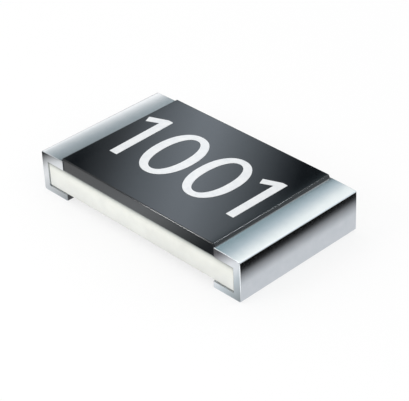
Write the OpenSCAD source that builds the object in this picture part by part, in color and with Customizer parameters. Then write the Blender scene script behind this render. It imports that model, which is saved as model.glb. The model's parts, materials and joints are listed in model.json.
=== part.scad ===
// Thick-film chip resistor in the 1206 (3216 metric) case size, built up layer by layer.
// Frame: the origin is the centre of the seating plane, X runs along the length, Z points up. Millimetres.

/* [Chip] */
// Overall length over both terminals
chip_l = 3.00; // [2.60:0.05:3.60]
// Overall width over the terminals
chip_w = 1.70; // [1.65:0.01:2.00]
// How far each terminal stands proud of the ceramic's long sides
terminal_proud = 0.008; // [0.002:0.001:0.015]

/* [Ceramic substrate] */
// Thickness of the alumina substrate
substrate_t = 0.305; // [0.20:0.005:0.60]
// Chamfer left along the lower long edges where the sheet was scribed and snapped
scribe_chamfer = 0.018; // [0.004:0.002:0.030]
// Break on the four upright corner edges
corner_break = 0.012; // [0.004:0.001:0.020]

/* [Terminals] */
// Length of each terminal on the upper face
top_pad_l = 0.355; // [0.25:0.005:0.55]
// Length of each terminal on the underside
bottom_pad_l = 0.380; // [0.25:0.005:0.55]
// Thickness of the finished terminal over the ceramic's upper face
terminal_top_t = 0.111; // [0.085:0.001:0.125]
// Thickness of the finished terminal over the ceramic's end face
terminal_end_t = 0.096; // [0.060:0.001:0.120]
// Thickness of the finished terminal under the ceramic
terminal_bottom_t = 0.080; // [0.060:0.001:0.110]
// Radius of the upper outer edge
shoulder_r = 0.012; // [0.008:0.002:0.040]
// Radius of the lower outer edge, where the solder fillet starts
heel_r = 0.035; // [0.010:0.005:0.060]
// Radius of the inner end of the pad on the underside
toe_r = 0.020; // [0.006:0.002:0.030]
// Radius of the edges around the two long sides
terminal_edge_r = 0.010; // [0.004:0.002:0.024]

/* [Electrodes and plating] */
// Thickness of the fired silver electrodes on the upper face
top_electrode_t = 0.030; // [0.010:0.001:0.036]
// Thickness of the fired silver electrodes on the underside
bottom_electrode_t = 0.014; // [0.008:0.001:0.020]
// Width of the electrodes across the chip
electrode_w = 1.56; // [1.30:0.01:1.58]
// How far each upper electrode runs in under the overcoat
electrode_reach = 0.22; // [0.19:0.01:0.40]
// Thickness of the metal film on the ceramic's end faces
edge_film_t = 0.012; // [0.004:0.001:0.016]
// How far the end film folds over onto the electrodes
edge_wrap = 0.10; // [0.04:0.01:0.16]
// Thickness of the nickel barrier over the electrodes and the end film
nickel_t = 0.020; // [0.008:0.001:0.024]

/* [Resistor element] */
// Thickness of the fired resistive film
resistor_t = 0.016; // [0.008:0.001:0.024]
// Width of the resistive film across the chip
resistor_w = 1.20; // [0.80:0.01:1.44]
// How far the film laps onto each upper electrode
resistor_lap = 0.12; // [0.05:0.01:0.14]
// Thickness of the glass over the film
glass_t = 0.014; // [0.008:0.001:0.024]
// How far the glass runs past the film on every side
glass_margin = 0.045; // [0.020:0.005:0.060]
// Width of the laser trim cut
trim_kerf = 0.050; // [0.030:0.005:0.080]
// Place of the trim cut's first leg along the length
trim_x = -0.35; // [-0.60:0.05:0.00]
// Depth of the first leg, across the film
trim_plunge = 0.58; // [0.20:0.01:0.80]
// Length of the second leg, along the film
trim_leg = 0.62; // [0.20:0.01:0.90]

/* [Overcoat] */
// Height of the black resin overcoat above the ceramic
overcoat_t = 0.147; // [0.125:0.001:0.180]
// Radius of its upper edges
overcoat_edge_r = 0.012; // [0.004:0.002:0.030]
// Radius of its four upright corners where it stands above the terminals
overcoat_corner_r = 0.014; // [0.010:0.002:0.060]

/* [Hidden] */
$fn = 48;

// Plan sizes of the ceramic and of the overcoat, which ends flush with its long sides
substrate_l = chip_l - 2 * terminal_end_t;
substrate_w = chip_w - 2 * terminal_proud;
overcoat_l = chip_l - 2 * top_pad_l;

// Heights above the seating plane: ceramic underside, middle and upper face, terminal top, overcoat top
z_base = terminal_bottom_t;
z_mid = z_base + substrate_t / 2;
z_face = z_base + substrate_t;
z_pad = z_face + terminal_top_t;
z_coat = z_face + overcoat_t;

// Inner ends along X: upper electrode, tin, nickel and electrode on the underside
x_electrode = overcoat_l / 2 - electrode_reach;
x_toe = chip_l / 2 - bottom_pad_l;
x_nickel_toe = x_toe + terminal_bottom_t - bottom_electrode_t - edge_film_t - nickel_t;
x_under_electrode = x_nickel_toe + nickel_t;

nickel_w = electrode_w + 2 * nickel_t;
glass_w = resistor_w + 2 * glass_margin;
trim_y = -resistor_w / 2 + trim_plunge;

ceramic_white = "#f1f0ea";
silver_grey = "#b9b7b0";
ruthenium_black = "#2b2a2c";
glass_green = "#5f7a70";
resin_black = "#26292c";
film_grey = "#8d8f92";
nickel_grey = "#a9a593";
tin_grey = "#cdd1d5";

// Shared shapes. Everything at an end is drawn for the right-hand end.

// Block from x0 to x1 and z0 to z1, w wide about the centre line
module slab(x0, x1, w, z0, z1) {
    translate([x0, -w / 2, z0])
        cube([x1 - x0, w, z1 - z0]);
}

// The same shape at the left-hand end
module at_left_end() {
    mirror([1, 0, 0])
        children();
}

module at_both_ends() {
    children();
    at_left_end()
        children();
}

// Outline drawn in X and Z, drawn out across the chip
module across(w) {
    rotate([90, 0, 0])
        linear_extrude(w, center = true)
            children();
}

// Outline drawn in Y and Z, drawn out along the chip
module along(l) {
    rotate([90, 0, 90])
        linear_extrude(l, center = true)
            children();
}

// What rounding takes off a corner at [x, z]; sx and sz point out of the corner
module corner_waste(x, z, sx, sz, r) {
    difference() {
        translate([x, z])
            square(2 * r, center = true);
        translate([x - sx * r, z - sz * r])
            circle(r);
    }
}

module round_rect(l, w, r) {
    difference() {
        square([l, w], center = true);
        for (sx = [-1, 1], sy = [-1, 1])
            corner_waste(sx * l / 2, sy * w / 2, sx, sy, r);
    }
}

// Rectangle standing on z0 with its two upper corners rounded
module round_topped(l, z0, z1, r) {
    difference() {
        translate([-l / 2, z0])
            square([l, z1 - z0]);
        for (sx = [-1, 1])
            corner_waste(sx * l / 2, z1, sx, 1, r);
    }
}

// Rectangle with its four corners cut off at 45 degrees
module broken_rect(l, w, c) {
    polygon([
        for (q = [[1, 1], [-1, 1], [-1, -1], [1, -1]], i = [0, 1])
            let (lengthways = (q[0] * q[1] > 0) ? i : 1 - i)
                [q[0] * (l / 2 - c * lengthways), q[1] * (w / 2 - c * (1 - lengthways))]
    ]);
}

// The ceramic

module ceramic_envelope() {
    slab(-substrate_l / 2, substrate_l / 2, chip_w, z_base, z_face);
}

module ceramic_substrate() {
    half_w = substrate_w / 2;
    color(ceramic_white)
        intersection() {
            along(substrate_l)
                polygon([
                    [-half_w + scribe_chamfer, z_base],
                    [half_w - scribe_chamfer, z_base],
                    [half_w, z_base + scribe_chamfer],
                    [half_w, z_face],
                    [-half_w, z_face],
                    [-half_w, z_base + scribe_chamfer]
                ]);
            linear_extrude(z_coat)
                broken_rect(substrate_l, substrate_w, corner_break);
        }
}

// The prints on the ceramic

module top_electrode() {
    slab(x_electrode, substrate_l / 2, electrode_w, z_face, z_face + top_electrode_t);
}

module bottom_electrode() {
    slab(x_under_electrode, substrate_l / 2, electrode_w, z_base - bottom_electrode_t, z_base);
}

// Space filled up to a height t over the ceramic, stepping up over the electrodes it laps onto
module draped(t, w, lap) {
    slab(-x_electrode, x_electrode, w, z_face, z_face + t);
    at_both_ends()
        slab(x_electrode - t, x_electrode + lap, w, z_face, z_face + top_electrode_t + t);
}

module film_space() {
    draped(resistor_t, resistor_w, resistor_lap);
}

module glass_space() {
    draped(resistor_t + glass_t, glass_w, resistor_lap + glass_margin);
}

// L-shaped laser cut, in from one long side and then along the film
module trim_cut() {
    translate([trim_x - trim_kerf / 2, -chip_w / 2, z_face])
        cube([trim_kerf, chip_w / 2 + trim_y, overcoat_t]);
    translate([trim_x - trim_kerf / 2, trim_y - trim_kerf, z_face])
        cube([trim_kerf / 2 + trim_leg, trim_kerf, overcoat_t]);
}

module resistive_film() {
    color(ruthenium_black)
        difference() {
            film_space();
            at_both_ends()
                top_electrode();
            trim_cut();
        }
}

module glass_passivation() {
    color(glass_green)
        difference() {
            glass_space();
            film_space();
            at_both_ends()
                top_electrode();
            trim_cut();
        }
}

// The overcoat: square beside the terminals, with rounded corners and edges where it stands above them

module overcoat_block() {
    slab(-overcoat_l / 2, overcoat_l / 2, substrate_w, z_face, min(z_pad, z_coat - overcoat_edge_r));
    intersection() {
        across(substrate_w)
            round_topped(overcoat_l, z_face, z_coat, overcoat_edge_r);
        along(overcoat_l)
            round_topped(substrate_w, z_face, z_coat, overcoat_edge_r);
        linear_extrude(2 * z_coat)
            round_rect(overcoat_l, substrate_w, overcoat_corner_r);
    }
}

// Poured over the prints, it also fills the trim cut
module protective_overcoat() {
    color(resin_black)
        difference() {
            overcoat_block();
            at_both_ends()
                top_electrode();
            difference() {
                glass_space();
                trim_cut();
            }
        }
}

// The terminals, each layer wrapped around the one before it

// Block around the ceramic's end, with its own reach and thickness above and below
module wrap(top_x, bottom_x, w, top_t, end_t, bottom_t) {
    slab(top_x, substrate_l / 2 + end_t, w, z_mid, z_face + top_t);
    slab(bottom_x, substrate_l / 2 + end_t, w, z_base - bottom_t, z_mid);
}

module edge_film_space() {
    wrap_x = substrate_l / 2 - edge_wrap;
    wrap(wrap_x, wrap_x, electrode_w, top_electrode_t + edge_film_t, edge_film_t,
        bottom_electrode_t + edge_film_t);
}

module nickel_space() {
    under_nickel_t = edge_film_t + nickel_t;
    wrap(overcoat_l / 2, x_nickel_toe, nickel_w, top_electrode_t + under_nickel_t, under_nickel_t,
        bottom_electrode_t + under_nickel_t);
}

module edge_film() {
    difference() {
        edge_film_space();
        ceramic_envelope();
        top_electrode();
        bottom_electrode();
    }
}

module nickel_barrier() {
    difference() {
        nickel_space();
        ceramic_envelope();
        top_electrode();
        bottom_electrode();
        edge_film_space();
    }
}

// Side view of the finished terminal, ceramic included
module terminal_outline() {
    difference() {
        union() {
            translate([overcoat_l / 2, z_mid])
                square([top_pad_l, z_pad - z_mid]);
            translate([x_toe, 0])
                square([bottom_pad_l, z_mid]);
        }
        corner_waste(chip_l / 2, z_pad, 1, 1, shoulder_r);
        corner_waste(chip_l / 2, 0, 1, -1, heel_r);
        corner_waste(x_toe, 0, -1, -1, toe_r);
    }
}

module tin_plating() {
    difference() {
        intersection() {
            across(chip_w)
                terminal_outline();
            along(chip_l)
                translate([0, z_pad / 2])
                    round_rect(chip_w, z_pad, terminal_edge_r);
            linear_extrude(z_pad)
                round_rect(chip_l, chip_w, terminal_edge_r);
        }
        ceramic_envelope();
        nickel_space();
    }
}

// One module to a piece

module top_electrode_left() {
    color(silver_grey)
        at_left_end()
            top_electrode();
}

module top_electrode_right() {
    color(silver_grey)
        top_electrode();
}

module bottom_electrode_left() {
    color(silver_grey)
        at_left_end()
            bottom_electrode();
}

module bottom_electrode_right() {
    color(silver_grey)
        bottom_electrode();
}

module edge_film_left() {
    color(film_grey)
        at_left_end()
            edge_film();
}

module edge_film_right() {
    color(film_grey)
        edge_film();
}

module nickel_barrier_left() {
    color(nickel_grey)
        at_left_end()
            nickel_barrier();
}

module nickel_barrier_right() {
    color(nickel_grey)
        nickel_barrier();
}

module tin_plating_left() {
    color(tin_grey)
        at_left_end()
            tin_plating();
}

module tin_plating_right() {
    color(tin_grey)
        tin_plating();
}

ceramic_substrate();
top_electrode_left();
top_electrode_right();
bottom_electrode_left();
bottom_electrode_right();
resistive_film();
glass_passivation();
protective_overcoat();
edge_film_left();
edge_film_right();
nickel_barrier_left();
nickel_barrier_right();
tin_plating_left();
tin_plating_right();
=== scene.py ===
"""Looks of a thick-film chip resistor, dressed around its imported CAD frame.

Meshes are worked out in millimetres and scaled to the frame's metres when they are finished.
"""
import json
import math

import bmesh
import bpy
from mathutils import Matrix, Vector


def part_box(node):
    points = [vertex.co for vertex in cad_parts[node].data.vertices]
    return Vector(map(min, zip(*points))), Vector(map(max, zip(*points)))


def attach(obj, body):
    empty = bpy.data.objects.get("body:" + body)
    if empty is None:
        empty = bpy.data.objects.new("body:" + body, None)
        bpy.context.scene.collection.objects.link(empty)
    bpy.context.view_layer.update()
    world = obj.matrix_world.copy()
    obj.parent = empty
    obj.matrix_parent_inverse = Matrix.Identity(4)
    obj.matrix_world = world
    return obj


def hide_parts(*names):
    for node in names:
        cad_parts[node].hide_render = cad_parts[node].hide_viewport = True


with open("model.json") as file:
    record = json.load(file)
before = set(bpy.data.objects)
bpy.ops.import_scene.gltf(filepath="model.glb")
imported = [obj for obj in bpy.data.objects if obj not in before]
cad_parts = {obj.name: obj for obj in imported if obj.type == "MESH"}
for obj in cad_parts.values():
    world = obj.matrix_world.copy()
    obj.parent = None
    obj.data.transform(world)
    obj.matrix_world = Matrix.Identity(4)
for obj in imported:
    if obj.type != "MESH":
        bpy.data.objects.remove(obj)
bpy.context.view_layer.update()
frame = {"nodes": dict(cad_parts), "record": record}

MM = 0.001

# Camera: the photograph's view, as a lens on a 36 mm wide sensor, with angles in degrees
SENSOR_W = 36.0
LENS = 133.9
CAMERA_AZIMUTH = 47.13
CAMERA_ELEVATION = 33.88
CAMERA_ROLL = -2.49
CAMERA_DISTANCE = 16.06 * MM
CAMERA_AIM = Vector((0.110, 0.0175, 0.146)) * MM
CLIP_RATIO = 50

# All meshes: steps to each arc, and the angle in degrees from which an edge is sharp
CURVE_STEPS = 12
SHARP_ANGLE = 35

# Form of the plated terminals, in millimetres; the slits are lines of shade round the ceramic
PAD_CROWN = 0.008
END_CROWN = 0.003
END_CROWN_H = 0.15
SHOULDER_R = 0.020
HEEL_R = 0.027
TOE_R = 0.016
SIDE_EDGE_R = 0.008
END_SLIT = 0.005
BOTTOM_SLIT = 0.001

# Form of the overcoat, in millimetres, with the slope of its ends in degrees from upright
COAT_EDGE_R = 0.013
COAT_CORNER_R = 0.014
COAT_END_SLOPE = 30
COAT_LIP_LIFT = 0.001
COAT_SHIFT = -0.012

# The ceramic's worn edges, in millimetres
CERAMIC_EDGE_W = 0.004
CERAMIC_EDGE_STEPS = 3

# The ceramic's colour by height, as painted shade: darker towards the bottom, clean middle, and a painted
# shadow under the overcoat
CERAMIC_PAINTED_SHADE = (
    (0.080, (0.70, 0.70, 0.71)),
    (0.110, (0.88, 0.88, 0.88)),
    (0.160, (0.94, 0.94, 0.94)),
    (0.300, (1.00, 1.00, 0.98)),
    (0.335, (0.91, 0.91, 0.89)),
    (0.362, (0.64, 0.65, 0.64)),
    (0.382, (0.25, 0.27, 0.27)),
)

# Grain of the finishes: the middle of a noise's range, and the size of colour clouds in grains
NOISE_LOW = 0.3
NOISE_HIGH = 0.7
CLOUD_GRAINS = 9

# The value print: four numerals in one row, in millimetres and shares of the numerals' height.
# Pairs of heights, widths and leans hold at the row's left and right ends.
PRINT_T = 0.003
PRINT_BASE_Y = -0.395
ROW_LEFT = -0.90
ROW_RIGHT = 0.86
CAP_HEIGHT = (0.853, 0.789)
WIDTH_FACTOR = (1.01, 0.94)
LEAN = (-0.028, 0.003)
ONE_STEM_W = 0.109
ONE_FLAG = ((0.038, 1.0), (-0.178, 0.886), (-0.146, 0.787), (0.0, 0.870))
ZERO_HALF_W = 0.289
ZERO_LOW = -0.019
ZERO_HIGH = 1.022
ZERO_SIDE_STROKE = 0.119
ZERO_END_STROKE = 0.102
ZERO_SQUARENESS = 2.15
ZERO_STEPS = 64
ONES_AT = (-0.897, 0.858)
ZEROS_AT = (-0.321, 0.333)

# Floor, and the share of it that shows as a plain white glow
FLOOR_SIZE = 120 * MM
FLOOR_DROP = 0.002 * MM
FLOOR_GLOW = 0.72

# Lamps: the direction in which the part sees each, with sizes and distances in millimetres
FRONT_LAMP_VIEW = Vector((-0.28, -0.82, 0.57)).normalized()
FRONT_LAMP_DISTANCE = 14
FRONT_LAMP_SIZE = (5, 5)
FRONT_LAMP_RADIANCE = 2.9
NEAR_EDGE_VIEW = Vector((-0.608, -0.785, 0.11)).normalized()
NEAR_EDGE_DISTANCE = 2.0
NEAR_EDGE_X = 0.60
NEAR_EDGE_SIZE = (1.1, 0.5)
NEAR_EDGE_RADIANCE = 32.0
END_EDGE_VIEW = Vector((0.535, 0.565, 0.627)).normalized()
END_EDGE_DISTANCE = 8.0
END_EDGE_SIZE = (3.0, 1.5)
END_EDGE_RADIANCE = 55.0
END_EDGE_TINT = (0.86, 0.93, 1.0)

# Walls and windows round the part: radii in millimetres, elevations and azimuths in degrees, radiance
WALL_R = 40
WINDOW_R = 36
RING_STEPS = 48
HORIZON_TOP = 12
HORIZON_TONE = (0.12, 0.12, 0.13)
LOW_WALL_TOP = 22
LOW_WALL_TONE = (0.40, 0.42, 0.44)
GREY_WALL_TOP = 44
GREY_WALL_TONE = (0.40, 0.50, 0.53)
UPPER_WINDOW_TOP = 75
UPPER_WINDOW_TONE = (1.4, 1.4, 1.4)
FRONT_WINDOW_ELEVATIONS = (15, 60)
FRONT_WINDOW_AZIMUTHS = (190, 245)
FRONT_WINDOW_TONE = (1.05, 1.05, 1.05)
END_WINDOW_ELEVATIONS = (1, 46)
END_WINDOW_AZIMUTHS = (15, 75)
END_WINDOW_TONE = (0.95, 1.03, 1.07)

# Cards over the part: places in millimetres with radiance there, and turns in degrees
CARD_RISE = 0.4
CARD_MARGIN = 0.35
GLOW_TURN = 35
GLOW_STOPS = [
    (-1.25, (0.00, 0.00, 0.00)),
    (-0.90, (0.40, 0.44, 0.48)),
    (-0.50, (1.12, 1.26, 1.40)),
    (-0.10, (1.74, 1.94, 2.16)),
    (0.10, (1.74, 1.94, 2.16)),
    (0.50, (1.03, 1.16, 1.28)),
    (0.90, (0.28, 0.32, 0.36)),
    (1.12, (0.00, 0.00, 0.00)),
]
RIGHT_PAD_TURN = 3.6
RIGHT_PAD_STOPS = [
    (1.117, (0.17, 0.28, 0.31)),
    (1.322, (0.57, 0.66, 0.71)),
    (1.482, (1.15, 1.19, 1.17)),
]
LEFT_PAD_STOPS = [
    (-1.572, (1.30, 1.29, 1.28)),
    (-1.492, (0.74, 0.77, 0.79)),
    (-1.342, (0.42, 0.475, 0.50)),
    (-1.145, (0.28, 0.33, 0.35)),
]

# Cards on the floor, for the upright faces and the underside: in the same terms
FLOOR_CARD_X = 8
FLOOR_CARD_Y = 6
FLAG_GAP = 0.01
END_FACE_TURN = 0.8
RIGHT_CARD_Y = -0.9
RIGHT_STOPS = [
    (1.695, (0.735, 0.75, 0.78)),
    (1.91, (0.00, 0.00, 0.00)),
    (2.20, (0.00, 0.00, 0.00)),
    (2.80, (0.30, 0.30, 0.31)),
    (4.50, (0.60, 0.60, 0.60)),
]
FRONT_CARD_X = -1.1
FRONT_STOPS = [
    (-1.10, (1.10, 1.12, 1.14)),
    (-0.45, (1.40, 1.45, 1.50)),
    (-0.10, (1.14, 1.18, 1.20)),
    (0.40, (0.38, 0.40, 0.40)),
    (0.62, (0.10, 0.10, 0.10)),
    (0.72, (0.12, 0.11, 0.12)),
    (0.96, (1.00, 1.00, 1.02)),
    (1.06, (0.98, 1.00, 1.02)),
    (1.20, (0.70, 0.75, 0.78)),
    (1.45, (0.38, 0.41, 0.42)),
]
FRONT_LEFT_STOPS = [
    (-2.12, (0.00, 0.00, 0.00)),
    (-1.83, (0.93, 0.93, 0.94)),
    (-1.70, (1.00, 1.00, 1.00)),
    (-1.10, (1.10, 1.12, 1.14)),
]
TOE_CARD_X = -0.85
TOE_CARD_Y = -1.05
TOE_CARD_LIFT = 0.001
TOE_STOPS = [
    (-1.70, (1.00, 1.00, 1.00)),
    (-1.53, (0.78, 0.79, 0.80)),
    (-1.10, (0.40, 0.42, 0.43)),
    (-0.85, (0.25, 0.26, 0.27)),
]
# The card under the part is a painted shadow, which its reflections show in place of the shade there
UNDER_SHADOW_TONE = (0.08, 0.08, 0.08)
CORNER_CARD_LOW = (1.60, -1.42)
CORNER_CARD_HIGH = (2.02, -0.97)
CORNER_TONE = (2.2, 2.2, 2.2)


# Measures taken from the frame, in millimetres

def corners_mm(node):
    """Lowest and highest corner of a CAD node."""
    low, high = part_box(node)
    return low / MM, high / MM


def lower_inner_end(node, height):
    """Where a right-hand node's part below a height starts along X."""
    return min(v.co.x for v in frame["nodes"][node].data.vertices if v.co.z < height * MM) / MM


ceramic_low, ceramic_high = corners_mm("ceramic_substrate")
coat_low, coat_high = corners_mm("protective_overcoat")
tin_low, tin_high = corners_mm("tin_plating_right")
nickel_low, nickel_high = corners_mm("nickel_barrier_right")
ceramic_mid_z = (ceramic_low.z + ceramic_high.z) / 2
toe_x = lower_inner_end("tin_plating_right", ceramic_low.z)
nickel_toe_x = lower_inner_end("nickel_barrier_right", ceramic_low.z)
pad_l = tin_high.x - coat_high.x
end_crown_foot = tin_high.z - PAD_CROWN - END_CROWN_H


# Meshes

def new_piece(name, vertices, faces):
    """A mesh object in the scene."""
    mesh = bpy.data.meshes.new(name)
    mesh.from_pydata([tuple(v) for v in vertices], [], faces)
    piece = bpy.data.objects.new(name, mesh)
    bpy.context.scene.collection.objects.link(piece)
    return piece


def loft(name, rings):
    """A closed solid through rings that have the same number of points each."""
    count = len(rings[0])
    faces = [list(range(count))[::-1]]
    for k in range(len(rings) - 1):
        for i in range(count):
            j = (i + 1) % count
            faces.append([k * count + i, k * count + j, (k + 1) * count + j, (k + 1) * count + i])
    faces.append(list(range((len(rings) - 1) * count, len(rings) * count)))
    piece = new_piece(name, [p for ring in rings for p in ring], faces)
    shell = bmesh.new()
    shell.from_mesh(piece.data)
    bmesh.ops.recalc_face_normals(shell, faces=shell.faces)
    shell.to_mesh(piece.data)
    shell.free()
    return piece


def block(low, high):
    """A plain box, used only to cut with."""
    ring = [(low[0], low[1]), (high[0], low[1]), (high[0], high[1]), (low[0], high[1])]
    return loft("cutter", [[(x, y, z) for x, y in ring] for z in (low[2], high[2])])


def copy_of(node):
    """A CAD node's solid in millimetres, used only to cut with."""
    cutter = bpy.data.objects.new("cutter", frame["nodes"][node].data.copy())
    cutter.data.transform(Matrix.Scale(1 / MM, 4))
    # Loaded normals would pass to the piece that is cut, and spoil its sharp edges
    loaded_normals = cutter.data.attributes.get("custom_normal")
    if loaded_normals:
        cutter.data.attributes.remove(loaded_normals)
    bpy.context.scene.collection.objects.link(cutter)
    return cutter


def carve(piece, cutters):
    """Takes closed cutters out of a piece and removes them from the scene."""
    for cutter in cutters:
        modifier = piece.modifiers.new("carve", "BOOLEAN")
        modifier.operation = "DIFFERENCE"
        modifier.solver = "EXACT"
        modifier.object = cutter
    depsgraph = bpy.context.evaluated_depsgraph_get()
    carved = bpy.data.meshes.new_from_object(piece.evaluated_get(depsgraph))
    piece.modifiers.clear()
    piece.data = carved
    for cutter in cutters:
        bpy.data.objects.remove(cutter)


def finish_mesh(piece):
    """Scales a finished mesh to metres and shades it smooth, with its flat faces kept flat."""
    piece.data.transform(Matrix.Scale(MM, 4))
    piece.data.shade_smooth()
    piece.data.set_sharp_from_angle(angle=math.radians(SHARP_ANGLE))
    normals = piece.modifiers.new("flat_faces", "WEIGHTED_NORMAL")
    normals.keep_sharp = True
    normals.weight = 100


def arc(centre, radius, start, end):
    """Points on an arc, with angles in degrees."""
    angles = [math.radians(start + (end - start) * i / CURVE_STEPS) for i in range(CURVE_STEPS + 1)]
    return [(centre[0] + radius * math.cos(a), centre[1] + radius * math.sin(a)) for a in angles]


# Terminals

def pad_line(pad_end, inset):
    """The crowned pad in side view, from the overcoat to the shoulder, drawn in by inset."""
    points = []
    for i in range(CURVE_STEPS):
        x = coat_high.x + (pad_end - coat_high.x) * i / CURVE_STEPS
        along = (x - coat_high.x) / pad_l
        z = tin_high.z - PAD_CROWN * along ** 2
        slope = math.atan(2 * PAD_CROWN * along / pad_l)
        points.append((x - inset * math.sin(slope), z - inset * math.cos(slope)))
    return points


def end_line(end_top, inset):
    """The crowned end in side view, from the shoulder to where it is upright, drawn in by inset."""
    points = []
    for i in range(1, CURVE_STEPS + 1):
        z = end_top + (end_crown_foot - end_top) * i / CURVE_STEPS
        up = (z - end_crown_foot) / END_CROWN_H
        x = tin_high.x - END_CROWN * up ** 2
        lean = math.atan(2 * END_CROWN * up / END_CROWN_H)
        points.append((x - inset * math.cos(lean), z - inset * math.sin(lean)))
    return points


def terminal_outline(inset):
    """Side view of the right-hand terminal, ceramic included, drawn in by inset on its outer edges."""
    pad_slope = math.atan(2 * PAD_CROWN / pad_l)
    end_lean = math.atan(2 * END_CROWN / END_CROWN_H)

    # The shoulder's centre lies one radius inside both the crowned pad and the leaning end
    corner = Vector((tin_high.x - END_CROWN, tin_high.z - PAD_CROWN))
    pad_normal = Vector((math.sin(pad_slope), math.cos(pad_slope)))
    end_normal = Vector((math.cos(end_lean), math.sin(end_lean)))
    between = (pad_normal + end_normal).normalized()
    shoulder = corner - between * SHOULDER_R / between.dot(pad_normal)

    points = pad_line(shoulder.x + SHOULDER_R * pad_normal.x, inset)
    points += arc(shoulder, SHOULDER_R - inset, 90 - math.degrees(pad_slope), math.degrees(end_lean))
    points += end_line(shoulder.y + SHOULDER_R * end_normal.y, inset)
    points += arc((tin_high.x - HEEL_R, HEEL_R), HEEL_R - inset, 0, -90)
    points += arc((toe_x + TOE_R, TOE_R), TOE_R - inset, -90, -180)
    points += [(toe_x + inset, ceramic_mid_z), (coat_high.x, ceramic_mid_z)]
    return points


def side_stations(half_w, radius):
    """Places across the chip with the inset that rounds the edges along both sides."""
    turns = [math.radians(90 * i / CURVE_STEPS) for i in range(CURVE_STEPS + 1)]
    near = [(-half_w + radius * (1 - math.sin(t)), radius * (1 - math.cos(t))) for t in reversed(turns)]
    return near + [(-y, inset) for y, inset in reversed(near)]


def make_terminal(name):
    """The right-hand terminal's tin skin, hollow where the ceramic and the nickel are."""
    rings = [
        [(x, y, z) for x, z in terminal_outline(inset)]
        for y, inset in side_stations(tin_high.y, SIDE_EDGE_R)
    ]
    piece = loft(name, rings)
    beyond = tin_high.x - tin_low.x
    carve(piece, [
        block(
            (tin_low.x - beyond, -2 * tin_high.y, ceramic_low.z - BOTTOM_SLIT),
            (ceramic_high.x + END_SLIT, 2 * tin_high.y, ceramic_high.z),
        ),
        block(
            (tin_low.x - beyond, nickel_low.y, ceramic_mid_z),
            (nickel_high.x, nickel_high.y, nickel_high.z),
        ),
        block(
            (nickel_toe_x, nickel_low.y, nickel_low.z),
            (nickel_high.x, nickel_high.y, ceramic_mid_z),
        ),
    ])
    return piece


def mirror_piece(piece):
    """Turns a right-hand piece into a left-hand one."""
    piece.data.transform(Matrix.Scale(-1, 4, (1, 0, 0)))
    piece.data.flip_normals()


# Overcoat

def plan_ring(half_l, half_w, radius, z):
    """A rounded rectangle at a height."""
    ring = []
    for sx, sy, start in ((1, 1, 0), (-1, 1, 90), (-1, -1, 180), (1, -1, 270)):
        centre = (sx * (half_l - radius), sy * (half_w - radius))
        ring += [(x, y, z) for x, y in arc(centre, radius, start, start + 90)]
    return ring


def coat_reach(z):
    """Half the overcoat's length at a height above the terminals, where its ends slope."""
    slope = math.radians(COAT_END_SLOPE)
    centre_x = coat_high.x - COAT_EDGE_R
    centre_z = coat_high.z - COAT_EDGE_R
    turn = math.asin(min(1, max(-1, (z - centre_z) / COAT_EDGE_R)))
    if turn >= slope:
        return centre_x + COAT_EDGE_R * math.cos(turn)
    foot_of_arc = centre_z + COAT_EDGE_R * math.sin(slope)
    return centre_x + COAT_EDGE_R * math.cos(slope) + (foot_of_arc - z) * math.tan(slope)


def shifted(ring):
    """A ring moved along as the overcoat's upper part is, which was printed a little to the left."""
    return [(x + COAT_SHIFT, y, z) for x, y, z in ring]


def make_overcoat(name):
    """The resin block, with sloped ends and with its corners and the edge of its top rounded."""
    half_l, half_w = coat_high.x, coat_high.y
    lip_z = tin_high.z + COAT_LIP_LIFT
    rings = [
        plan_ring(half_l, half_w, COAT_CORNER_R, coat_low.z),
        plan_ring(half_l, half_w, COAT_CORNER_R, tin_high.z),
        shifted(plan_ring(coat_reach(lip_z), half_w, COAT_CORNER_R, lip_z)),
    ]
    for i in range(CURVE_STEPS + 1):
        turn = math.radians(90 * i / CURVE_STEPS)
        inset = COAT_EDGE_R * (1 - math.cos(turn))
        z = coat_high.z - COAT_EDGE_R * (1 - math.sin(turn))
        rings.append(shifted(plan_ring(coat_reach(z), half_w - inset, COAT_CORNER_R - inset, z)))
    piece = loft(name, rings)
    carve(piece, [copy_of(node) for node in (
        "top_electrode_left", "top_electrode_right", "resistive_film", "glass_passivation",
    )])
    return piece


# Value print

def along_row(x, ends):
    """A measure that changes evenly from the row's left end to its right end."""
    share = (x - ROW_LEFT) / (ROW_RIGHT - ROW_LEFT)
    return ends[0] + (ends[1] - ends[0]) * share


def print_point(x, share):
    """A point of the print at a place along the row and a share of the numerals' height."""
    rise = along_row(x, CAP_HEIGHT) * share
    return x + along_row(x, LEAN) * rise, PRINT_BASE_Y + rise


def one_outline(stem_x):
    """The numeral 1: a stem with a slanting flag."""
    width = along_row(stem_x, WIDTH_FACTOR)
    shape = [(0.0, 0.0), (ONE_STEM_W, 0.0), (ONE_STEM_W, 1.0), *ONE_FLAG]
    return [print_point(stem_x + dx * width, share) for dx, share in shape]


def oval(centre_x, half_w, low, high):
    """A slightly squared oval between two shares of the numerals' height."""
    points = []
    for i in range(ZERO_STEPS):
        turn = 2 * math.pi * i / ZERO_STEPS
        c, s = math.cos(turn), math.sin(turn)
        dx = math.copysign(abs(c) ** (2 / ZERO_SQUARENESS), c) * half_w
        dz = math.copysign(abs(s) ** (2 / ZERO_SQUARENESS), s) * (high - low) / 2
        points.append(print_point(centre_x + dx, (low + high) / 2 + dz))
    return points


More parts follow.
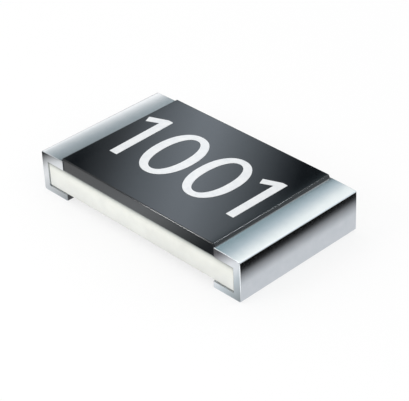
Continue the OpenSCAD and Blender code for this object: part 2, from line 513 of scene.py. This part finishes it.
def add_numeral(shell, outline, hole=None):
    """Adds one numeral's raised film of ink to a bmesh."""
    base, top = coat_high.z, coat_high.z + PRINT_T
    loops = []
    for z in (base, top):
        loops.append([[shell.verts.new((x, y, z)) for x, y in line] for line in (outline, hole) if line])
    for low_line, high_line in zip(*loops):
        for i in range(len(low_line)):
            j = (i + 1) % len(low_line)
            shell.faces.new((low_line[i], low_line[j], high_line[j], high_line[i]))
    for lines in loops:
        if hole is None:
            shell.faces.new(lines[0])
            continue
        outer, inner = lines
        for i in range(len(outer)):
            j = (i + 1) % len(outer)
            shell.faces.new((outer[i], outer[j], inner[j], inner[i]))


def make_print(name):
    """The row of numerals on the overcoat."""
    shell = bmesh.new()
    for x in ONES_AT:
        add_numeral(shell, one_outline(x))
    for x in ZEROS_AT:
        width = along_row(x, WIDTH_FACTOR)
        hole_half_w = (ZERO_HALF_W - ZERO_SIDE_STROKE) * width
        add_numeral(
            shell,
            oval(x, ZERO_HALF_W * width, ZERO_LOW, ZERO_HIGH),
            oval(x, hole_half_w, ZERO_LOW + ZERO_END_STROKE, ZERO_HIGH - ZERO_END_STROKE),
        )
    bmesh.ops.recalc_face_normals(shell, faces=shell.faces)
    piece = new_piece(name, [], [])
    shell.to_mesh(piece.data)
    shell.free()
    return piece


# Materials

def new_material(name):
    """A node material with its tree and its shader."""
    material = bpy.data.materials.new(name)
    material.use_nodes = True
    return material, material.node_tree, material.node_tree.nodes["Principled BSDF"]


def noise(tree, grain_mm, detail):
    """Noise whose grain has a size in millimetres, in the object's own space."""
    place = tree.nodes.new("ShaderNodeTexCoord")
    texture = tree.nodes.new("ShaderNodeTexNoise")
    texture.inputs["Scale"].default_value = 1 / (grain_mm * MM)
    texture.inputs["Detail"].default_value = detail
    texture.inputs["Roughness"].default_value = 0.55
    tree.links.new(place.outputs["Object"], texture.inputs["Vector"])
    return texture.outputs["Fac"]


def blend_colours(tree, factor, low, high):
    """A colour between two others, spread over the middle of a noise's range."""
    ramp = tree.nodes.new("ShaderNodeValToRGB")
    ramp.color_ramp.elements[0].position = NOISE_LOW
    ramp.color_ramp.elements[0].color = (*low, 1)
    ramp.color_ramp.elements[1].position = NOISE_HIGH
    ramp.color_ramp.elements[1].color = (*high, 1)
    tree.links.new(factor, ramp.inputs["Fac"])
    return ramp.outputs["Color"]


def blend_numbers(tree, factor, low, high):
    """A number between two others, spread over the middle of a noise's range."""
    span = tree.nodes.new("ShaderNodeMapRange")
    span.inputs["From Min"].default_value = NOISE_LOW
    span.inputs["From Max"].default_value = NOISE_HIGH
    span.inputs["To Min"].default_value = low
    span.inputs["To Max"].default_value = high
    tree.links.new(factor, span.inputs["Value"])
    return span.outputs["Result"]


def bump(tree, shader, height, depth_mm):
    """Relief of a real depth."""
    node = tree.nodes.new("ShaderNodeBump")
    node.inputs["Strength"].default_value = 1.0
    node.inputs["Distance"].default_value = depth_mm * MM
    tree.links.new(height, node.inputs["Height"])
    tree.links.new(node.outputs["Normal"], shader.inputs["Normal"])


def surface(name, low, high, roughness, grain_mm, relief_mm, metallic=0.0):
    """A finish between two colours, with fine grain in its colour, roughness and relief."""
    material, tree, shader = new_material(name)
    grain = noise(tree, grain_mm, detail=4.0)
    cloud = noise(tree, grain_mm * CLOUD_GRAINS, detail=2.0)
    tree.links.new(blend_colours(tree, cloud, low, high), shader.inputs["Base Color"])
    tree.links.new(blend_numbers(tree, grain, *roughness), shader.inputs["Roughness"])
    bump(tree, shader, grain, relief_mm)
    shader.inputs["Metallic"].default_value = metallic
    return material


def axis_colours(tree, axis, stops):
    """A colour that changes along an object's own axis, through (place in millimetres, colour) pairs."""
    place = tree.nodes.new("ShaderNodeTexCoord")
    axes = tree.nodes.new("ShaderNodeSeparateXYZ")
    span = tree.nodes.new("ShaderNodeMapRange")
    ramp = tree.nodes.new("ShaderNodeValToRGB")
    low, high = stops[0][0], stops[-1][0]
    span.inputs["From Min"].default_value = low * MM
    span.inputs["From Max"].default_value = high * MM
    while len(ramp.color_ramp.elements) < len(stops):
        ramp.color_ramp.elements.new(0.5)
    for element, (position, colour) in zip(ramp.color_ramp.elements, stops):
        element.position = (position - low) / (high - low)
        element.color = (*colour, 1)
    tree.links.new(place.outputs["Object"], axes.inputs["Vector"])
    tree.links.new(axes.outputs[axis], span.inputs["Value"])
    tree.links.new(span.outputs["Result"], ramp.inputs["Fac"])
    return ramp.outputs["Color"]


def alumina():
    """Fired alumina: matt, off-white, slightly translucent, with painted shade by height."""
    material = surface(
        "alumina", (0.79, 0.80, 0.765), (0.85, 0.86, 0.82),
        roughness=(0.5, 0.65), grain_mm=0.02, relief_mm=0.0006)
    tree = material.node_tree
    shader = tree.nodes["Principled BSDF"]
    # Painted shade by height: darker towards the bottom, and a painted shadow under the overcoat
    shade = tree.nodes.new("ShaderNodeMix")
    shade.data_type = "RGBA"
    shade.blend_type = "MULTIPLY"
    shade.inputs["Factor"].default_value = 1.0
    grain = shader.inputs["Base Color"].links[0].from_socket
    tree.links.new(grain, shade.inputs["A"])
    tree.links.new(axis_colours(tree, "Z", CERAMIC_PAINTED_SHADE), shade.inputs["B"])
    tree.links.new(shade.outputs["Result"], shader.inputs["Base Color"])
    shader.inputs["Subsurface Weight"].default_value = 0.15
    shader.inputs["Subsurface Radius"].default_value = (1.0, 0.9, 0.8)
    shader.inputs["Subsurface Scale"].default_value = 0.05 * MM
    return material


def make_materials():
    """One material to each slot of the record."""
    return {
        "alumina": alumina(),
        "silver_electrode": surface(
            "silver_electrode", (0.60, 0.59, 0.55), (0.70, 0.69, 0.65),
            roughness=(0.35, 0.5), grain_mm=0.01, relief_mm=0.001, metallic=1.0),
        "resistor_cermet": surface(
            "resistor_cermet", (0.03, 0.03, 0.033), (0.05, 0.048, 0.05),
            roughness=(0.4, 0.55), grain_mm=0.01, relief_mm=0.001),
        "passivation_glass": surface(
            "passivation_glass", (0.16, 0.26, 0.22), (0.24, 0.35, 0.31),
            roughness=(0.1, 0.2), grain_mm=0.03, relief_mm=0.0004),
        "overcoat_resin": surface(
            "overcoat_resin", (0.004, 0.006, 0.008), (0.006, 0.008, 0.010),
            roughness=(0.16, 0.21), grain_mm=0.012, relief_mm=0.0002),
        "edge_metal": surface(
            "edge_metal", (0.36, 0.36, 0.37), (0.43, 0.43, 0.44),
            roughness=(0.3, 0.4), grain_mm=0.01, relief_mm=0.0005, metallic=1.0),
        "nickel": surface(
            "nickel", (0.52, 0.49, 0.43), (0.58, 0.55, 0.49),
            roughness=(0.25, 0.35), grain_mm=0.01, relief_mm=0.0005, metallic=1.0),
        "tin": surface(
            "tin", (0.70, 0.73, 0.75), (0.74, 0.76, 0.78),
            roughness=(0.12, 0.17), grain_mm=0.012, relief_mm=0.0002, metallic=1.0),
        "marking_ink": surface(
            "marking_ink", (0.71, 0.73, 0.75), (0.79, 0.80, 0.80),
            roughness=(0.5, 0.65), grain_mm=0.01, relief_mm=0.0006),
    }


# Pieces

def dress(piece, slot):
    """Puts a new piece on the part's one body, in a slot's finish."""
    piece.data.materials.clear()
    piece.data.materials.append(materials[slot])
    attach(piece, "root")


def build_pieces():
    """The visible skins and the print, in place of or on the CAD solids."""
    for side in ("left", "right"):
        terminal = make_terminal("terminal_skin_" + side)
        if side == "left":
            mirror_piece(terminal)
        finish_mesh(terminal)
        dress(terminal, "tin")
        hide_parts("tin_plating_" + side)

    overcoat = make_overcoat("overcoat_skin")
    finish_mesh(overcoat)
    dress(overcoat, "overcoat_resin")
    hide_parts("protective_overcoat")

    value_print = make_print("value_print")
    finish_mesh(value_print)
    dress(value_print, "marking_ink")


def dress_cad_nodes():
    """Finishes for the CAD solids that stay in view or inside."""
    for row in frame["record"]["subparts"]:
        node = frame["nodes"][row["node"]]
        node.data.materials.clear()
        node.data.materials.append(materials[row["material_slot"]])
    edges = frame["nodes"]["ceramic_substrate"].modifiers.new("worn_edges", "BEVEL")
    edges.width = CERAMIC_EDGE_W * MM
    edges.segments = CERAMIC_EDGE_STEPS
    edges.limit_method = "ANGLE"


# Camera, floor and world

def camera_axes():
    """The camera's right, up and back directions."""
    azimuth, elevation, roll = map(math.radians, (CAMERA_AZIMUTH, CAMERA_ELEVATION, CAMERA_ROLL))
    back = Vector((
        math.sin(azimuth) * math.cos(elevation),
        -math.cos(azimuth) * math.cos(elevation),
        math.sin(elevation),
    ))
    level_right = Vector((math.cos(azimuth), math.sin(azimuth), 0))
    level_up = back.cross(level_right)
    right = level_right * math.cos(roll) + level_up * math.sin(roll)
    return right, back.cross(right), back


def make_camera():
    """The photograph's camera."""
    right, up, back = camera_axes()
    data = bpy.data.cameras.new("camera")
    data.sensor_width = SENSOR_W
    data.lens = LENS
    data.clip_start = CAMERA_DISTANCE / CLIP_RATIO
    data.clip_end = CAMERA_DISTANCE * CLIP_RATIO
    camera = bpy.data.objects.new("camera", data)
    bpy.context.scene.collection.objects.link(camera)
    turn = Matrix((right, up, back)).transposed().to_4x4()
    camera.matrix_world = Matrix.Translation(CAMERA_AIM + back * CAMERA_DISTANCE) @ turn
    bpy.context.scene.camera = camera


def seen_rays(tree):
    """One for camera, glossy and transmission rays, and zero for the rest."""
    rays = tree.nodes.new("ShaderNodeLightPath")
    seen = rays.outputs["Is Camera Ray"]
    for kind in ("Is Glossy Ray", "Is Transmission Ray"):
        either = tree.nodes.new("ShaderNodeMath")
        either.operation = "MAXIMUM"
        tree.links.new(seen, either.inputs[0])
        tree.links.new(rays.outputs[kind], either.inputs[1])
        seen = either.outputs["Value"]
    return seen


def floor_white():
    """White that takes a shadow, and shows itself partly as a plain white glow."""
    material, tree, shader = new_material("floor_white")
    shader.inputs["Base Color"].default_value = (0.95, 0.95, 0.95, 1)
    shader.inputs["Roughness"].default_value = 0.9
    shader.inputs["Specular IOR Level"].default_value = 0.0
    share = tree.nodes.new("ShaderNodeMath")
    share.operation = "MULTIPLY"
    share.inputs[1].default_value = FLOOR_GLOW
    tree.links.new(seen_rays(tree), share.inputs[0])
    white = tree.nodes.new("ShaderNodeEmission")
    mixed = tree.nodes.new("ShaderNodeMixShader")
    tree.links.new(share.outputs["Value"], mixed.inputs["Fac"])
    tree.links.new(shader.outputs["BSDF"], mixed.inputs[1])
    tree.links.new(white.outputs["Emission"], mixed.inputs[2])
    tree.links.new(mixed.outputs["Shader"], tree.nodes["Material Output"].inputs["Surface"])
    return material


def make_floor():
    """A plain floor, just under the part."""
    h = FLOOR_SIZE / 2
    floor = new_piece("floor", [(-h, -h, 0), (h, -h, 0), (h, h, 0), (-h, h, 0)], [[0, 1, 2, 3]])
    floor.location.z = -FLOOR_DROP
    floor.data.materials.append(floor_white())


def make_world():
    """An even white studio."""
    world = bpy.data.worlds.new("studio")
    world.use_nodes = True
    bpy.context.scene.world = world
    sky = world.node_tree.nodes["Background"]
    sky.inputs["Color"].default_value = (1, 1, 1, 1)
    sky.inputs["Strength"].default_value = 1.0


# Lamps

def only_reflected(thing):
    """Leaves a studio card or lamp to be seen in the part's reflections alone."""
    for sight in ("camera", "diffuse", "transmission", "shadow"):
        setattr(thing, "visible_" + sight, False)


def make_lamp(name, place, view, along, size, radiance, tint=(1, 1, 1)):
    """A soft rectangular lamp seen in a direction from the part, its first side laid along a line."""
    data = bpy.data.lights.new(name, "AREA")
    data.color = tint
    data.shape = "RECTANGLE"
    data.size = size[0] * MM
    data.size_y = size[1] * MM
    data.energy = radiance * math.pi * data.size * data.size_y
    lamp = bpy.data.objects.new(name, data)
    across = view.cross(along).normalized()
    turn = Matrix((along, across, along.cross(across))).transposed().to_4x4()
    lamp.matrix_world = Matrix.Translation(place * MM) @ turn
    lamp.visible_camera = False
    bpy.context.scene.collection.objects.link(lamp)
    return lamp


def keep_to_overcoat(lamp):
    """Leaves a lamp to be seen in the overcoat's gloss alone."""
    only_reflected(lamp)
    lit = bpy.data.collections.new(lamp.name + "_lit")
    lit.objects.link(bpy.data.objects["overcoat_skin"])
    lamp.light_linking.receiver_collection = lit


def level_across(view):
    """The level direction that lies square to a view."""
    return Vector((0, 0, 1)).cross(view).normalized()


def make_lamps():
    """One soft lamp in front, and two that draw light along the overcoat's near and right-hand edges."""
    make_lamp(
        "front_lamp", FRONT_LAMP_VIEW * FRONT_LAMP_DISTANCE, FRONT_LAMP_VIEW,
        level_across(FRONT_LAMP_VIEW), FRONT_LAMP_SIZE, FRONT_LAMP_RADIANCE)
    near_edge = Vector((NEAR_EDGE_X, -coat_high.y, coat_high.z))
    keep_to_overcoat(make_lamp(
        "near_edge_lamp", near_edge + NEAR_EDGE_VIEW * NEAR_EDGE_DISTANCE, NEAR_EDGE_VIEW,
        Vector((1, 0, 0)), NEAR_EDGE_SIZE, NEAR_EDGE_RADIANCE))
    end_edge = Vector((coat_high.x, 0, coat_high.z))
    keep_to_overcoat(make_lamp(
        "end_edge_lamp", end_edge + END_EDGE_VIEW * END_EDGE_DISTANCE, END_EDGE_VIEW,
        level_across(END_EDGE_VIEW), END_EDGE_SIZE, END_EDGE_RADIANCE, END_EDGE_TINT))


# Studio cards, which only the part's reflections show

def make_card(name, vertices, faces, stops):
    """A studio card that glows evenly, or in colours that change along its own X, given in millimetres."""
    card = new_piece(name, [Vector(v) * MM for v in vertices], faces)
    material, tree, shader = new_material(name + "_tone")
    shader.inputs["Base Color"].default_value = (0, 0, 0, 1)
    shader.inputs["Specular IOR Level"].default_value = 0.0
    shader.inputs["Emission Color"].default_value = (*stops[0][1], 1)
    shader.inputs["Emission Strength"].default_value = 1.0
    if len(stops) > 1:
        tree.links.new(axis_colours(tree, "X", stops), shader.inputs["Emission Color"])
    card.data.materials.append(material)
    only_reflected(card)
    return card


def even(tone):
    """Colour stops for a card of one tone."""
    return [(0, tone)]


def mirrored(stops):
    """Colour stops for the other side of the part."""
    return [(-place, colour) for place, colour in reversed(stops)]


def rectangle(low, high):
    """Corners and face of a flat rectangular card."""
    ring = [(low[0], low[1], 0), (high[0], low[1], 0), (high[0], high[1], 0), (low[0], high[1], 0)]
    return ring, [[0, 1, 2, 3]]


def make_flat_card(name, low, high, stops, lift=0.0):
    """A level card, on the floor unless it is lifted."""
    card = make_card(name, *rectangle(low, high), stops)
    card.location.z = lift * MM
    return card


def make_turned_card(name, low, high, stops, turn):
    """A flat card whose colours change along a line turned from X, in degrees."""
    corners, faces = rectangle(low, high)
    back = Matrix.Rotation(-math.radians(turn), 3, "Z")
    card = make_card(name, [back @ Vector(corner) for corner in corners], faces, stops)
    card.rotation_euler.z = math.radians(turn)
    return card


def make_ring_card(name, elevations, tone, azimuths=(0, 360), radius=WALL_R):
    """A card that stands far round the part, between two elevations and two azimuths in degrees."""
    low, high = (radius * math.tan(math.radians(a)) for a in elevations)
    first, last = map(math.radians, azimuths)
    turns = [first + (last - first) * i / RING_STEPS for i in range(RING_STEPS + 1)]
    line = [(radius * math.cos(t), radius * math.sin(t)) for t in turns]
    vertices = [(x, y, z) for z in (low, high) for x, y in line]
    upper = len(line)
    faces = [[i, i + 1, upper + i + 1, upper + i] for i in range(RING_STEPS)]
    make_card(name, vertices, faces, even(tone))


def make_walls():
    """Grey walls under a light upper window, and two windows at the front left and the back right."""
    make_ring_card(
        "front_window", FRONT_WINDOW_ELEVATIONS, FRONT_WINDOW_TONE, FRONT_WINDOW_AZIMUTHS, WINDOW_R)
    make_ring_card("end_window", END_WINDOW_ELEVATIONS, END_WINDOW_TONE, END_WINDOW_AZIMUTHS, WINDOW_R)
    make_ring_card("horizon", (0, HORIZON_TOP), HORIZON_TONE)
    make_ring_card("low_wall", (HORIZON_TOP, LOW_WALL_TOP), LOW_WALL_TONE)
    make_ring_card("grey_wall", (LOW_WALL_TOP, GREY_WALL_TOP), GREY_WALL_TONE)
    make_ring_card("upper_window", (GREY_WALL_TOP, UPPER_WINDOW_TOP), UPPER_WINDOW_TONE)


def hang_over(card, plane_z):
    """Hangs a card so that a level face of the part mirrors it in the same outline to the camera."""
    eye = (CAMERA_AIM + camera_axes()[2] * CAMERA_DISTANCE) / MM
    spread_out = 1 + CARD_RISE / (eye.z - plane_z)
    card.scale = (spread_out, spread_out, 1)
    card.location = Vector((
        eye.x * (1 - spread_out),
        eye.y * (1 - spread_out),
        plane_z + CARD_RISE,
    )) * MM


def make_overhead_cards():
    """Graded cards for the upper faces: a broad glow on the overcoat, pale outer edges on the terminals."""
    margin = Vector((CARD_MARGIN, CARD_MARGIN))
    glow = make_turned_card("glow_card", -coat_high.xy - margin, coat_high.xy + margin, GLOW_STOPS, GLOW_TURN)
    hang_over(glow, coat_high.z)

    outer, far = tin_high.xy + margin
    right = make_turned_card(
        "right_pad_card", (coat_high.x, -far), (outer, far), RIGHT_PAD_STOPS, RIGHT_PAD_TURN)
    hang_over(right, tin_high.z)
    left = make_flat_card("left_pad_card", (-outer, -far), (-coat_high.x, far), LEFT_PAD_STOPS)
    hang_over(left, tin_high.z)


def make_floor_cards():
    """Graded cards round the part's foot, a dark one under it that is a painted shadow in the reflections,
    and a bright one off its near corner.
    """
    end_x = tin_high.x
    near = -tin_high.y - FLAG_GAP
    far_x, far_y = FLOOR_CARD_X, FLOOR_CARD_Y
    make_turned_card("flag_right", (end_x, RIGHT_CARD_Y), (far_x, far_y), RIGHT_STOPS, END_FACE_TURN)
    make_flat_card("flag_left", (-far_x, near), (-end_x, far_y), mirrored(RIGHT_STOPS))
    make_flat_card("flag_front", (FRONT_CARD_X, -far_y), (end_x, near), FRONT_STOPS)
    make_flat_card("flag_front_left", (-far_x, -far_y), (FRONT_CARD_X, TOE_CARD_Y), FRONT_LEFT_STOPS)
    make_flat_card("flag_toe", (-far_x, TOE_CARD_Y), (TOE_CARD_X, near), TOE_STOPS, TOE_CARD_LIFT)
    make_flat_card("flag_back", (-end_x, -near), (-FRONT_CARD_X, far_y), mirrored(FRONT_STOPS))
    # Painted shadow: a dark card under the part, seen only in reflections
    make_flat_card("painted_shadow_under", (-toe_x, -tin_high.y), (toe_x, tin_high.y), even(UNDER_SHADOW_TONE))
    make_flat_card("corner_card", CORNER_CARD_LOW, CORNER_CARD_HIGH, even(CORNER_TONE))


bpy.context.scene.view_settings.view_transform = "Standard"
materials = make_materials()
build_pieces()
dress_cad_nodes()
make_camera()
make_floor()
make_world()
make_lamps()
make_walls()
make_overhead_cards()
make_floor_cards()
